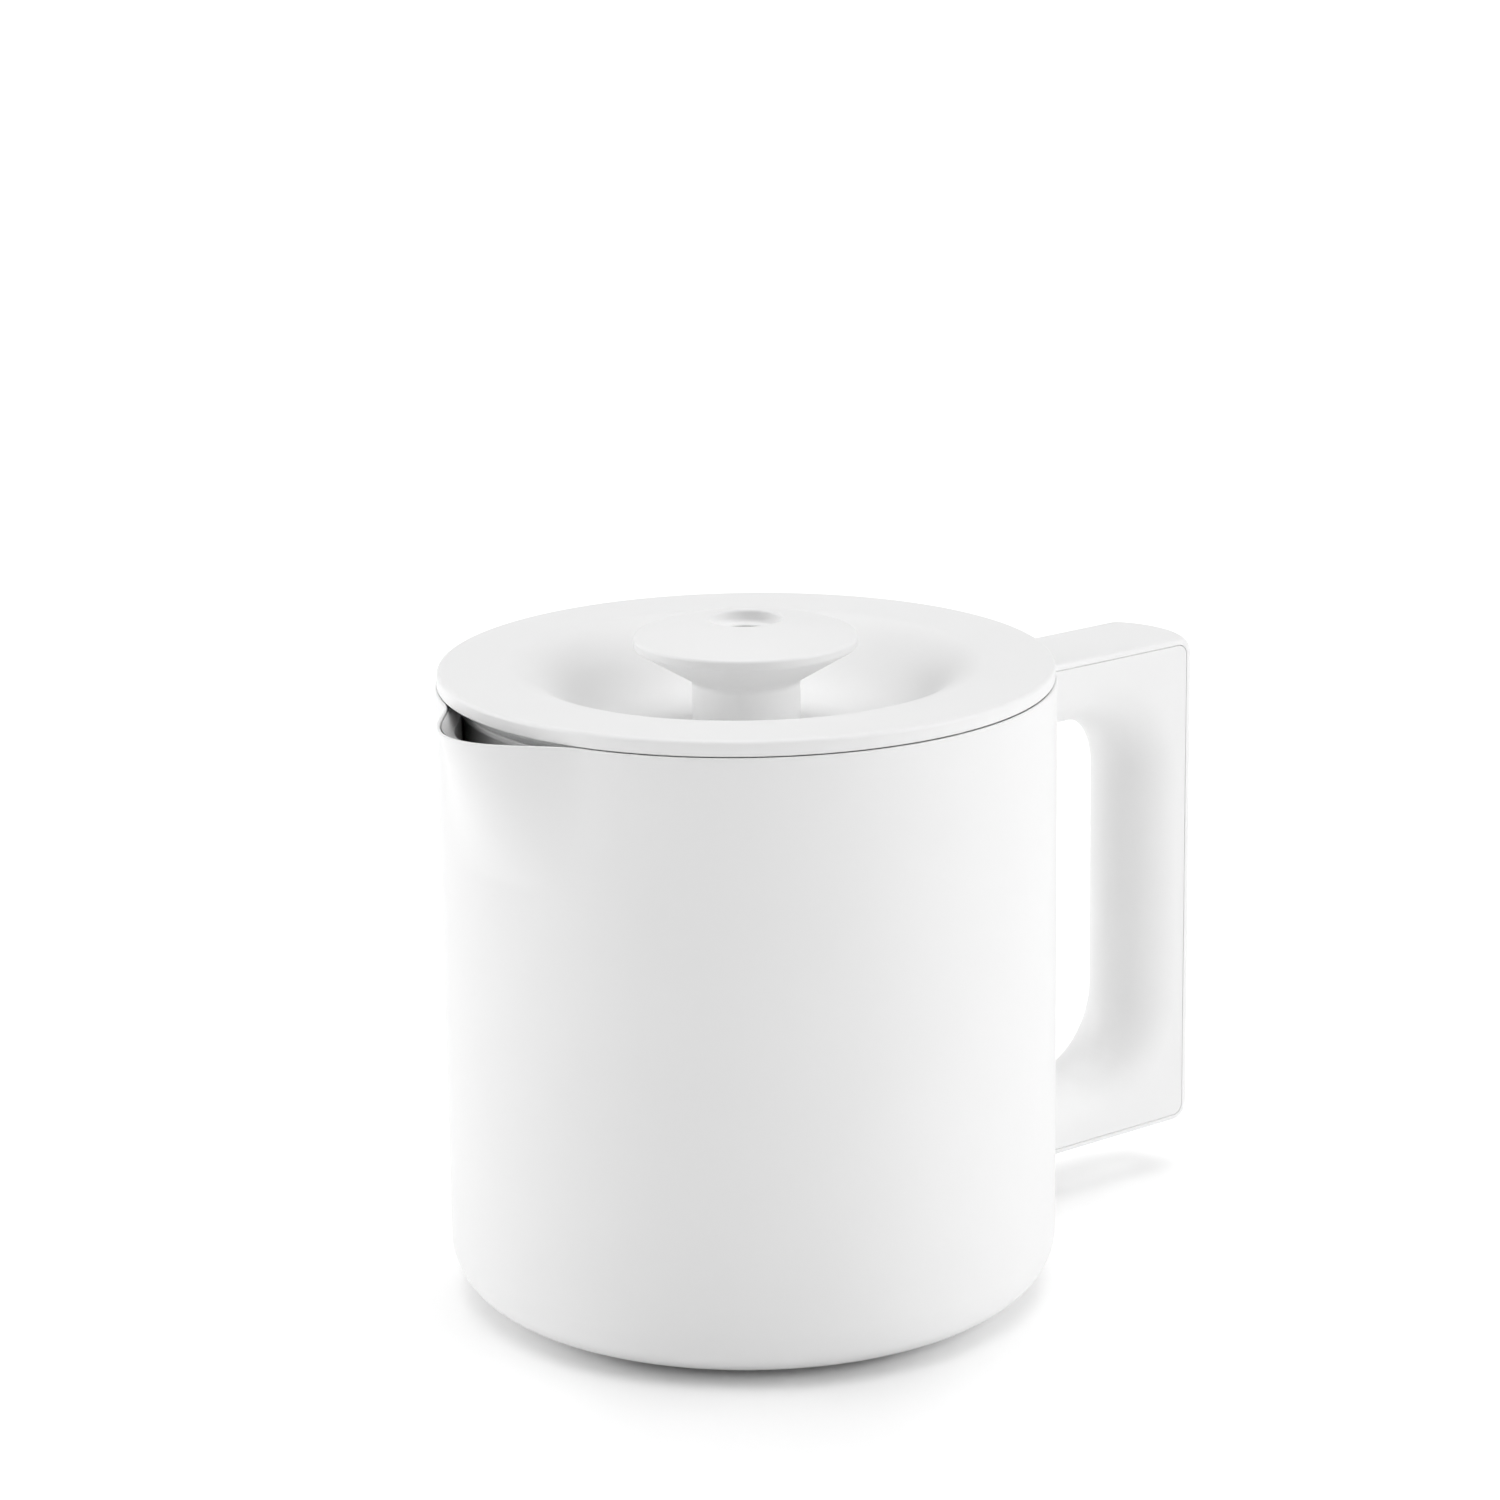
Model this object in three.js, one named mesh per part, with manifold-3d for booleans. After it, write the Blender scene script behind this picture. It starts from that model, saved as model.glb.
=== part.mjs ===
// A double-walled thermal carafe with a pouring beak, a D-shaped handle and a brew-through lid.
// Millimetres, +Z up. The origin is the middle of the base, on the table. The handle points to +X
// and the beak to -X.

import * as THREE from "three";
import { mergeVertices } from "three/addons/utils/BufferGeometryUtils.js";
import Module from "manifold-3d";

const wasm = await Module();
wasm.setup();

// Fits and fineness
const clearance = 0.3;
const wideSegments = 48;
const narrowSegments = 32;
const finestSegments = 20;
const filletSteps = 3;
const curveSteps = 6;
const palmSteps = 8;
const filletShare = 0.9;
const weldDistance = 1e-4;
const overcut = 2;

// Body
const bodyRadius = 70;
const rimHeight = 143.7;
const bottomFillet = 12.3;
const shellWall = 0.8;
const linerWall = 0.8;
const vacuumGap = 2.2;
const linerFillet = 10;
const linerFlareHeight = 1.5;
const linerRimDrop = 0.4;

// Beak, a bulge of the wall that fades out downwards
const beakReach = 11;
const beakHalfAngle = THREE.MathUtils.degToRad(22.3);
const beakHeight = 34;
const beakFade = 1.2;
const beakLevels = 4;

// Base
const footHeight = 1.2;
const padInset = 20;
const padChamfer = 0.6;
const plateWall = 1;
const plateLap = 4;
const evacuationHoleRadius = 1.5;
const solderLap = 3;
const dimpleMargin = 4.5;
const dimpleDepth = 1.5;
const getterRadius = 6;
const getterHeight = 2.2;
const getterMargin = 11.5;
const getterHeadroom = 1.2;

// Handle
const handleWidth = 24.7;
const handleReach = 60.5;
const handleTopDrop = 8.5;
const handleBottom = 13.4;
const handleEndBulge = 4.4;
const handleEndFillet = 3;
const gripDepth = 21.2;
const gripRounding = 12.5;
const upperArmHeight = 17.4;
const lowerArmHeight = 15.9;
const upperFingerFillet = 15.5;
const lowerFingerFillet = 17;
const coverThickness = 1.4;

// Handle brackets and their screws
const bracketWall = 1.5;
const bracketMargin = 4;
const bracketPadHeight = 8;
const tabShoulder = 2.5;
const tabThickness = 2;
const tabDepth = 4;
const screwReach = 9;
const screwToTabEnd = 7;
const screwRadius = 1.6;
const screwHeadRadius = 3.4;
const screwHeadHeight = 2.2;
const screwTipCover = 2.4;

// Lid top
const brimSetback = 0.4;
const brimThickness = 3.4;
const brimFillet = 1;
const lidWall = 2.2;
const brimWidth = 16.1;
const dishDepth = 16;
const dishFloorRadius = 28;
const bossWidth = 2.5;
const bossHeight = 2;
const lidSkirtDepth = 7.3;

// Lid knob
const stemRadius = 12.2;
const stemHeight = 9.9;
const stemShoulder = 1;
const knobOverhang = 13.1;
const knobNeckFillet = 2;
const knobConeRise = 7.9;
const knobRimHeight = 2.1;
const knobRimFillet = 0.9;
const knobDome = 4.6;
const knobWall = 2.2;
const spigotWall = 1.3;
const spigotDepth = 8;

// Coffee inlet in the knob: a round recess with a drain in the middle
const inletDepth = 3.4;
const inletRadius = 8.2;
const drainRadius = 5;

// Lid plug, seal and brew valve
const plugGap = 2.5;
const plugWall = 2.2;
const plugDepth = 26.5;
const plugFillet = 4;
const sealHeight = 2.8;
const sealShelfHeight = 1.5;
const sealShelfGap = 1.2;
const sealLip = 0.6;
const cageWall = 3.1;
const cageFloor = 1.5;
const cageDrainRadius = 7;
const cageWindowWidth = 15;
const cageRingHeight = 3.7;
const cageSill = 1.3;
const collarWall = 2;
const collarDepth = 3;
const valveOverlap = 2.4;
const valveTravel = 6.4;
const valveBodyHeight = 5;
const valveConeHeight = 4;
const valveTipSetback = 3.7;
const valveShoulder = 0.6;

// Radii and heights that follow from the driving dimensions
const linerOuterRadius = bodyRadius - shellWall - vacuumGap;
const linerInnerRadius = linerOuterRadius - linerWall;
const padRadius = bodyRadius - padInset;
const plateBottom = footHeight + shellWall + clearance;
const plateTop = plateBottom + plateWall;
const solderRadius = evacuationHoleRadius + solderLap;
const dimpleRadius = solderRadius + dimpleMargin;
const dimpleEdge = dimpleRadius + dimpleDepth;
const getterBottom = plateTop + clearance;
const getterTop = getterBottom + getterHeight;
const linerBottom = getterTop + getterHeadroom;
const handleTop = rimHeight - handleTopDrop;
const handleEnd = bodyRadius + handleReach;
const halfWidth = handleWidth / 2;
const handleEndRadius = (halfWidth ** 2 + handleEndBulge ** 2) / (2 * handleEndBulge);
const endCentre = handleEnd - handleEndRadius;
const sideEnd = handleEnd - handleEndBulge;
const coverInside = sideEnd - coverThickness;
const gripOutside = coverInside - clearance;
const gripTop = handleTop - coverThickness - clearance;
const gripBottom = handleBottom + coverThickness + clearance;
const gripInside = handleEnd - gripDepth;
const bracketWidth = handleWidth - 2 * bracketMargin;
const tabWidth = bracketWidth - 2 * tabShoulder;
const upperTabBottom = gripTop - tabDepth - tabThickness;
const lowerTabBottom = gripBottom + tabDepth;
const screwAxis = bodyRadius + screwReach;
const tabEnd = screwAxis + screwToTabEnd;
const upperArmBottom = handleTop - upperArmHeight;
const lowerArmTop = handleBottom + lowerArmHeight;
const upperScrewTop = gripTop - clearance;
const lowerScrewBottom = gripBottom + clearance;
const thinnerArm = Math.min(upperArmHeight, lowerArmHeight);
const screwLength = thinnerArm - coverThickness - 2 * clearance - screwHeadHeight - screwTipCover;
const brimRadius = bodyRadius - brimSetback;
const brimBottom = rimHeight + clearance;
const brimTop = brimBottom + brimThickness;
const dishRadius = brimRadius - brimWidth;
const dishFloor = brimTop - dishDepth;
const dishUnderside = dishFloor - lidWall;
const bossTop = dishFloor + bossHeight;
const bossRadius = stemRadius + bossWidth;
const knobRadius = stemRadius + knobOverhang;
const knobShoulder = bossTop + clearance;
const knobNeckTop = knobShoulder + stemHeight;
const knobRimBottom = knobNeckTop + knobConeRise;
const knobRimTop = knobRimBottom + knobRimHeight;
const spigotRadius = stemRadius - stemShoulder;
const boreRadius = spigotRadius - spigotWall;
const roofRadius = inletRadius + knobWall;
const spigotBottom = knobShoulder - spigotDepth;
const plugRadius = linerInnerRadius - plugGap;
const plugInnerRadius = plugRadius - plugWall;
const plugTop = brimBottom - clearance;
const plugBottom = rimHeight - plugDepth;
const plugFloor = plugBottom + plugWall;
const chimneyTop = spigotBottom - clearance;
const sealBottom = plugTop - sealHeight;
const valveRadius = boreRadius + valveOverlap;
const coneBaseRadius = valveRadius - valveShoulder;
const coneTipRadius = boreRadius - valveTipSetback;
const coneSlope = valveConeHeight / (coneBaseRadius - coneTipRadius);
const closedShoulder = plugBottom - coneSlope * (coneBaseRadius - boreRadius + clearance);
const valveBottom = closedShoulder - valveTravel - valveBodyHeight;
const cageInnerRadius = valveRadius + clearance;
const cageRadius = cageInnerRadius + cageWall;
const cageTop = plugBottom - clearance;
const cageFloorTop = valveBottom - clearance;
const cageBottom = cageFloorTop - cageFloor;

// Closed geometry to a solid that can be joined and cut, and back
function toSolid(geometry) {
  const bare = geometry.clone();
  bare.deleteAttribute("normal");
  bare.deleteAttribute("uv");
  const welded = mergeVertices(bare, weldDistance);
  return new wasm.Manifold(
    new wasm.Mesh({
      numProp: 3,
      vertProperties: welded.attributes.position.array,
      triVerts: new Uint32Array(welded.index.array),
    }),
  );
}

function toGeometry(solid) {
  const mesh = solid.getMesh();
  const shared = new THREE.BufferGeometry();
  shared.setAttribute("position", new THREE.BufferAttribute(mesh.vertProperties, 3));
  shared.setIndex(new THREE.BufferAttribute(mesh.triVerts, 1));
  const flat = shared.toNonIndexed();
  flat.computeVertexNormals();
  return flat;
}

// Even steps from one value to another, both ends included.
function ramp(from, to, steps) {
  return Array.from({ length: steps + 1 }, (_, i) => from + ((to - from) * i) / steps);
}

function arc(centreX, centreY, radius, from, to, steps) {
  return ramp(from, to, steps).map((angle) => [
    centreX + radius * Math.cos(angle),
    centreY + radius * Math.sin(angle),
  ]);
}

// An outline of [x, y, fillet] corners with its fillets drawn as arcs. A fillet is limited by the
// shorter of the two edges that it joins.
function filleted(corners, steps = filletSteps) {
  return corners.flatMap(([x, y, fillet], i) => {
    if (!fillet) {
      return [[x, y]];
    }
    const corner = new THREE.Vector2(x, y);
    const before = new THREE.Vector2(corners[i - 1][0], corners[i - 1][1]).sub(corner);
    const after = new THREE.Vector2(corners[i + 1][0], corners[i + 1][1]).sub(corner);
    const halfAngle = Math.acos(before.dot(after) / (before.length() * after.length())) / 2;
    const longest = filletShare * Math.min(before.length(), after.length());
    const radius = Math.min(fillet, longest * Math.tan(halfAngle));
    const start = before.clone().setLength(radius / Math.tan(halfAngle));
    const end = after.clone().setLength(radius / Math.tan(halfAngle));
    const toCentre = before.clone().normalize().add(after.clone().normalize());
    const centre = toCentre.setLength(radius / Math.sin(halfAngle));
    const from = start.sub(centre).angle();
    let sweep = end.sub(centre).angle() - from;
    if (Math.abs(sweep) > Math.PI) {
      sweep -= Math.sign(sweep) * 2 * Math.PI;
    }
    return arc(x + centre.x, y + centre.y, radius, from, from + sweep, steps);
  });
}

// Turns an outline of [radius, height] points about the Z axis. It runs anticlockwise, so up the
// outside and down the inside, and it starts and ends on the axis or at one point.
function revolve(outline, segments = wideSegments) {
  const points = outline.map(([radius, height]) => new THREE.Vector2(radius, height));
  return new THREE.LatheGeometry(points, segments).rotateX(Math.PI / 2);
}

function closed(outline) {
  return [...outline, outline[0]];
}

function disc(radius, bottom, top, segments = wideSegments) {
  return revolve([[0, bottom], [radius, bottom], [radius, top], [0, top]], segments);
}

// A box between two corners.
function box(low, high) {
  const size = high.map((value, i) => value - low[i]);
  const middle = high.map((value, i) => (value + low[i]) / 2);
  return new THREE.BoxGeometry(...size).translate(...middle);
}

// Heights of the rings that carry the beak, from its foot up to the given top.
function beakHeights(top) {
  return ramp(rimHeight - beakHeight, top, beakLevels).slice(0, -1);
}

// Pushes the upper wall out into the beak.
function pushBeak(geometry) {
  const place = geometry.attributes.position;
  for (let i = 0; i < place.count; i++) {
    const x = place.getX(i);
    const y = place.getY(i);
    const rise = (place.getZ(i) - rimHeight + beakHeight) / beakHeight;
    const angle = Math.atan2(y, -x) / beakHalfAngle;
    if (rise > 0 && Math.abs(angle) < 1) {
      const push = beakReach * rise ** beakFade * Math.cos((angle * Math.PI) / 2) ** 2;
      const scale = 1 + push / Math.hypot(x, y);
      place.setXY(i, x * scale, y * scale);
    }
  }
  return geometry;
}

// Body pieces

function outerShell() {
  const inside = bodyRadius - shellWall;
  const insideFloor = footHeight + shellWall;
  const levels = beakHeights(rimHeight);
  const outline = filleted(
    [
      [padRadius, footHeight],
      [bodyRadius, footHeight, bottomFillet],
      ...levels.map((height) => [bodyRadius, height]),
      [bodyRadius, rimHeight],
      [inside, rimHeight],
      ...levels.toReversed().map((height) => [inside, height]),
      [inside, insideFloor, bottomFillet - shellWall],
      [padRadius, insideFloor],
    ],
    curveSteps,
  );
  return pushBeak(revolve(closed(outline)));
}

// The steel vessel, whose top edge flares out to the rim of the shell.
function innerVessel() {
  const rim = rimHeight - linerRimDrop;
  const flareFoot = rim - linerFlareHeight;
  const flareRadius = bodyRadius - shellWall - clearance;
  const levels = beakHeights(flareFoot - linerWall);
  const outline = filleted(
    [
      [0, linerBottom],
      [linerOuterRadius, linerBottom, linerFillet + linerWall],
      ...levels.map((height) => [linerOuterRadius, height]),
      [linerOuterRadius, flareFoot - linerWall],
      [flareRadius, rim - linerWall],
      [flareRadius, rim],
      [linerInnerRadius, flareFoot],
      ...levels.toReversed().map((height) => [linerInnerRadius, height]),
      [linerInnerRadius, linerBottom + linerWall, linerFillet],
      [0, linerBottom + linerWall],
    ],
    curveSteps,
  );
  return pushBeak(revolve(outline));
}

// The steel bottom of the vacuum space, with the dimple that the evacuation hole is in.
function basePlate() {
  const edge = padRadius + plateLap;
  return revolve(
    closed([
      [evacuationHoleRadius, plateBottom + dimpleDepth],
      [dimpleRadius, plateBottom + dimpleDepth],
      [dimpleEdge, plateBottom],
      [edge, plateBottom],
      [edge, plateTop],
      [dimpleEdge, plateTop],
      [dimpleRadius, plateTop + dimpleDepth],
      [evacuationHoleRadius, plateTop + dimpleDepth],
    ]),
    narrowSegments,
  );
}

// The solder that closes the evacuation hole, level with the underside of the plate.
function vacuumSeal() {
  return disc(solderRadius, plateBottom, plateBottom + dimpleDepth - clearance, finestSegments);
}

function getter() {
  const offset = dimpleEdge + getterMargin + getterRadius;
  return disc(getterRadius, getterBottom, getterTop, finestSegments).translate(offset, 0, 0);
}

function basePad() {
  const edge = padRadius - clearance;
  return revolve([
    [0, 0],
    [edge - padChamfer, 0],
    [edge, padChamfer],
    [edge, plateBottom - clearance],
    [0, plateBottom - clearance],
  ]);
}

// Handle pieces

// A cylinder just larger than the shell, which cuts what is fastened to it.
function shellCut() {
  return toSolid(disc(bodyRadius + clearance, -overcut, rimHeight + overcut));
}

// The whole outside of the handle: two flat sides and an end that is round in plan.
function handleEnvelope() {
  const end = revolve(
    filleted([
      [0, handleBottom],
      [handleEndRadius, handleBottom, handleEndFillet],
      [handleEndRadius, handleTop, handleEndFillet],
      [0, handleTop],
    ]),
  ).translate(endCentre, 0, 0);
  const arms = box([0, -handleWidth, handleBottom], [endCentre, handleWidth, handleTop]);
  const slab = box([0, -halfWidth, 0], [handleEnd + overcut, halfWidth, handleTop + overcut]);
  return toSolid(end).add(toSolid(arms)).intersect(toSolid(slab));
}

// The C-shaped cover along the top, end and bottom of the handle.
function handleCover() {
  const inside = box(
    [0, -handleWidth, handleBottom + coverThickness],
    [coverInside, handleWidth, handleTop - coverThickness],
  );
  return toGeometry(handleEnvelope().subtract(toSolid(inside)).subtract(shellCut()));
}

// Pairs of inner and outer points, [x, z], that the grip's sections run between, from the root of
// the upper arm round the finger hole to the root of the lower arm.
function gripStations() {
  const root = bodyRadius - overcut;
  return [
    { inner: [root, upperArmBottom], outer: [root, gripTop] },
    ...gripCorner(upperFingerFillet, upperArmBottom - upperFingerFillet, gripTop),
    ...gripCorner(lowerFingerFillet, lowerArmTop + lowerFingerFillet, gripBottom).toReversed(),
    { inner: [root, lowerArmTop], outer: [root, gripBottom] },
  ];
}

// The stations round one corner of the finger hole, from its arm to the upright. They fan out from
// the centre of the fillet to the grip's square outer corner.
function gripCorner(fillet, centreZ, outerZ) {
  const centreX = gripInside - fillet;
  const side = Math.sign(outerZ - centreZ);
  const corner = Math.atan2(outerZ - centreZ, gripOutside - centreX);
  const start = (side * Math.PI) / 2;
  const angles = [...ramp(start, corner, filletSteps), ...ramp(corner, 0, filletSteps).slice(1)];
  return angles.map((angle) => ({
    inner: [centreX + fillet * Math.cos(angle), centreZ + fillet * Math.sin(angle)],
    outer:
      Math.abs(angle) > Math.abs(corner)
        ? [centreX + (outerZ - centreZ) / Math.tan(angle), outerZ]
        : [gripOutside, centreZ + (gripOutside - centreX) * Math.tan(angle)],
  }));
}

// One section of the grip: flat sides and outer face, and a half-ellipse towards the fingers.
function gripSection({ inner, outer }) {
  const along = new THREE.Vector2(outer[0] - inner[0], outer[1] - inner[1]);
  const rounding = Math.min(gripRounding, filletShare * along.length());
  along.normalize();
  const palm = arc(0, 0, 1, -Math.PI / 2, Math.PI / 2, palmSteps).map(([cos, sin]) => {
    const depth = rounding * (1 - cos);
    return [inner[0] + along.x * depth, halfWidth * sin, inner[1] + along.y * depth];
  });
  return [...palm, [outer[0], halfWidth, outer[1]], [outer[0], -halfWidth, outer[1]]];
}

// A closed skin over sections with equal numbers of points.
function loft(sections) {
  const size = sections[0].length;
  const index = [];
  for (let s = 0; s + 1 < sections.length; s++) {
    for (let i = 0; i < size; i++) {
      const a = s * size + i;
      const b = s * size + ((i + 1) % size);
      index.push(a, b, a + size, b, b + size, a + size);
    }
  }
  const last = (sections.length - 1) * size;
  for (let i = 1; i + 1 < size; i++) {
    index.push(0, i + 1, i, last, last + i, last + i + 1);
  }
  const geometry = new THREE.BufferGeometry();
  geometry.setAttribute("position", new THREE.Float32BufferAttribute(sections.flat(2), 3));
  geometry.setIndex(index);
  return geometry;
}

// A bracket on the shell with a tab for its screw, or the pocket for it when grown.
function bracketSolid(tabBottom, grow) {
  const middle = tabBottom + tabThickness / 2;
  const inside = bodyRadius + clearance - grow;
  const outside = bodyRadius + clearance + bracketWall + grow;
  const bottom = middle - bracketPadHeight / 2 - grow;
  const top = middle + bracketPadHeight / 2 + grow;
  const band = revolve(closed([[inside, bottom], [outside, bottom], [outside, top], [inside, top]]));
  const half = bracketWidth / 2 + grow;
  const patch = box([0, -half, bottom - overcut], [outside + overcut, half, top + overcut]);
  const tab = box(
    [inside + bracketWall / 2, -tabWidth / 2 - grow, tabBottom - grow],
    [tabEnd + grow, tabWidth / 2 + grow, tabBottom + tabThickness + grow],
  );
  return toSolid(band).intersect(toSolid(patch)).add(toSolid(tab));
}

function bracket(tabBottom) {
  const hole = disc(screwRadius + clearance, -overcut, tabThickness + overcut, finestSegments);
  hole.translate(screwAxis, 0, tabBottom);
  return toGeometry(bracketSolid(tabBottom, 0).subtract(toSolid(hole)));
}

// A pan-head screw that points down, with the top of its head at the origin, or its hole.
function screw(grow) {
  const under = -screwHeadHeight - grow;
  const tip = under - screwLength;
  return revolve(
    [
      [0, tip],
      [screwRadius + grow, tip],
      [screwRadius + grow, under],
      [screwHeadRadius + grow, under],
      [screwHeadRadius + grow, grow * overcut],
      [0, grow * overcut],
    ],
    finestSegments,
  );
}

function handleGrip() {
  const body = toSolid(loft(gripStations().map(gripSection)));
  const upperHole = screw(clearance).translate(screwAxis, 0, upperScrewTop);
  const lowerHole = screw(clearance).rotateX(Math.PI).translate(screwAxis, 0, lowerScrewBottom);
  return toGeometry(
    body
      .subtract(shellCut())
      .subtract(bracketSolid(upperTabBottom, clearance))
      .subtract(bracketSolid(lowerTabBottom, clearance))
      .subtract(toSolid(upperHole))
      .subtract(toSolid(lowerHole)),
  );
}

// Lid pieces

// The dish round the knob, from its outer edge to the boss that the knob stands on, as an S-curve
// and a flare.
function dishOutline() {
  const wave = ramp(1, 0, curveSteps).map((share) => [
    dishFloorRadius + (dishRadius - dishFloorRadius) * share,
    dishFloor + (dishDepth * (1 - Math.cos(Math.PI * share))) / 2,
  ]);
  const flare = arc(0, 0, 1, 0, Math.PI / 2, curveSteps).map(([cos, sin]) => [
    bossRadius + (dishFloorRadius - bossRadius) * (1 - sin),
    dishFloor + bossHeight * (1 - cos),
  ]);
  return { wave, flare: flare.slice(1) };
}

function lidTop() {
  const skirtRadius = plugInnerRadius - clearance;
  const skirtInside = skirtRadius - lidWall;
  const skirtBottom = brimBottom - lidSkirtDepth;
  const bossBore = spigotRadius + clearance;
  const { wave, flare } = dishOutline();
  const underWave = wave.map(([radius, height]) => [radius, height - lidWall]).toReversed();
  return revolve(
    closed(
      filleted([
        [brimRadius, brimBottom],
        [brimRadius, brimTop, brimFillet],
        ...wave,
        ...flare,
        [bossBore, bossTop],
        [bossBore, dishUnderside],
        ...underWave,
        [skirtInside, brimTop - lidWall],
        [skirtInside, skirtBottom],
        [skirtRadius, skirtBottom],
        [skirtRadius, brimBottom],
      ]),
    ),
  );
}

// Half a section of the knob: a hollow with a thick roof for the inlet, and a stem with a spigot.
function knobOutline() {
  const domeRadius = (knobRadius ** 2 + knobDome ** 2) / (2 * knobDome);
  const domeCentre = knobRimTop + knobDome - domeRadius;
  const insideRadius = domeRadius - knobWall;
  const insideEdge = knobRadius - 2 * knobWall;
  const roofEnd = Math.acos(roofRadius / insideRadius);
  const top = Math.PI / 2;
  const dome = arc(0, domeCentre, domeRadius, Math.acos(knobRadius / domeRadius), top, curveSteps);
  return [
    [0, knobRimBottom],
    [roofRadius, knobRimBottom],
    ...arc(0, domeCentre, insideRadius, roofEnd, Math.acos(insideEdge / insideRadius), filletSteps),
    [insideEdge, knobRimBottom],
    [boreRadius, knobNeckTop + knobWall / 2],
    ...filleted([
      [boreRadius, spigotBottom],
      [spigotRadius, spigotBottom],
      [spigotRadius, knobShoulder],
      [stemRadius, knobShoulder],
      [stemRadius, knobNeckTop, knobNeckFillet],
      [knobRadius, knobRimBottom, knobRimFillet],
      [knobRadius, knobRimTop, knobRimFillet],
      ...dome.slice(1),
    ]),
  ];
}

function lidKnob() {
  const inletFloor = knobRimTop + knobDome - inletDepth;
  const recess = disc(inletRadius, inletFloor, inletFloor + inletDepth + overcut, narrowSegments);
  const drain = disc(drainRadius, knobRimBottom - overcut, inletFloor + overcut, finestSegments);
  const inlet = toSolid(recess).add(toSolid(drain));
  return toGeometry(toSolid(revolve(knobOutline(), narrowSegments)).subtract(inlet));
}

// The hollow lower half of the lid, with the chimney that the coffee falls through.
function lidPlug() {
  const collarInside = cageRadius + clearance;
  const collarOutside = collarInside + collarWall;
  const shelf = linerInnerRadius - sealShelfGap;
  const shelfTop = sealBottom - clearance;
  const shelfBottom = shelfTop - sealShelfHeight;
  return revolve(
    closed(
      filleted([
        [boreRadius, plugBottom],
        [collarInside, plugBottom],
        [collarInside, plugBottom - collarDepth],
        [collarOutside, plugBottom - collarDepth],
        [collarOutside, plugBottom],
        [plugRadius, plugBottom, plugFillet],
        [plugRadius, shelfBottom],
        [shelf, shelfBottom],
        [shelf, shelfTop],
        [plugRadius, shelfTop],
        [plugRadius, plugTop],
        [plugInnerRadius, plugTop],
        [plugInnerRadius, plugFloor, plugFillet - plugWall],
        [spigotRadius, plugFloor],
        [spigotRadius, chimneyTop],
        [boreRadius, chimneyTop],
      ]),
    ),
  );
}

function lidSeal() {
  const inside = plugRadius + clearance;
  const outside = linerInnerRadius - clearance;
  const middle = (sealBottom + plugTop) / 2;
  return revolve(
    closed([
      [inside, sealBottom],
      [outside - sealLip, sealBottom],
      [outside, middle],
      [outside - sealLip, plugTop - clearance],
      [inside, plugTop - clearance],
    ]),
  );
}

// The open cage under the plug that holds the brew valve.
function valveCage() {
  const cup = revolve(
    closed([
      [cageDrainRadius, cageBottom],
      [cageRadius, cageBottom],
      [cageRadius, cageTop],
      [cageInnerRadius, cageTop],
      [cageInnerRadius, cageFloorTop],
      [cageDrainRadius, cageFloorTop],
    ]),
    narrowSegments,
  );
  const top = cageTop - cageRingHeight;
  const bottom = cageFloorTop + cageSill;
  const half = cageWindowWidth / 2;
  const reach = cageRadius + overcut;
  const alongX = box([-reach, -half, bottom], [reach, half, top]);
  const alongY = box([-half, -reach, bottom], [half, reach, top]);
  return toGeometry(toSolid(cup).subtract(toSolid(alongX)).subtract(toSolid(alongY)));
}

// The loose plug that slides up against the chimney and shuts it when the carafe is tipped.
function brewValve() {
  const shoulder = valveBottom + valveBodyHeight;
  const top = shoulder + valveConeHeight;
  const outline = [
    [0, valveBottom],
    [valveRadius, valveBottom],
    [valveRadius, shoulder],
    [coneBaseRadius, shoulder],
    [coneTipRadius, top],
    [0, top],
  ];
  return revolve(outline, narrowSegments);
}

// Finishes
const whitePaint = { color: 0xf2f2f1, roughness: 0.38, metalness: 0 };
const whitePlastic = { color: 0xf4f4f3, roughness: 0.45, metalness: 0 };
const steel = { color: 0xb9bbbd, roughness: 0.25, metalness: 1 };
const greySilicone = { color: 0xa9abac, roughness: 0.7, metalness: 0 };
const darkSilicone = { color: 0x3a3b3c, roughness: 0.8, metalness: 0 };
const getterAlloy = { color: 0x77726c, roughness: 0.7, metalness: 0.6 };
const solder = { color: 0x8d8f92, roughness: 0.45, metalness: 0.8 };
const greyPlastic = { color: 0xd3d5d6, roughness: 0.5, metalness: 0 };

function piece(name, geometry, finish) {
  const mesh = new THREE.Mesh(geometry, new THREE.MeshStandardMaterial(finish));
  mesh.name = name;
  return mesh;
}

function group(...children) {
  return new THREE.Group().add(...children);
}

const upperScrew = piece("upper_handle_screw", screw(0), steel);
upperScrew.position.set(screwAxis, 0, upperScrewTop);

const lowerScrew = piece("lower_handle_screw", screw(0), steel);
lowerScrew.position.set(screwAxis, 0, lowerScrewBottom);
lowerScrew.rotation.x = Math.PI;

const body = group(
  piece("outer_shell", outerShell(), whitePaint),
  piece("inner_vessel", innerVessel(), steel),
  piece("base_plate", basePlate(), steel),
  piece("vacuum_seal", vacuumSeal(), solder),
  piece("getter", getter(), getterAlloy),
  piece("base_pad", basePad(), darkSilicone),
);

const handle = group(
  piece("handle_grip", handleGrip(), whitePlastic),
  piece("handle_cover", handleCover(), whitePlastic),
  piece("upper_handle_bracket", bracket(upperTabBottom), steel),
  piece("lower_handle_bracket", bracket(lowerTabBottom), steel),
  upperScrew,
  lowerScrew,
);

const lid = group(
  piece("lid_top", lidTop(), whitePlastic),
  piece("lid_knob", lidKnob(), whitePlastic),
  piece("lid_plug", lidPlug(), whitePlastic),
  piece("lid_seal", lidSeal(), greySilicone),
  piece("valve_cage", valveCage(), greyPlastic),
  piece("brew_valve", brewValve(), greyPlastic),
);

export default group(body, handle, lid);
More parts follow.
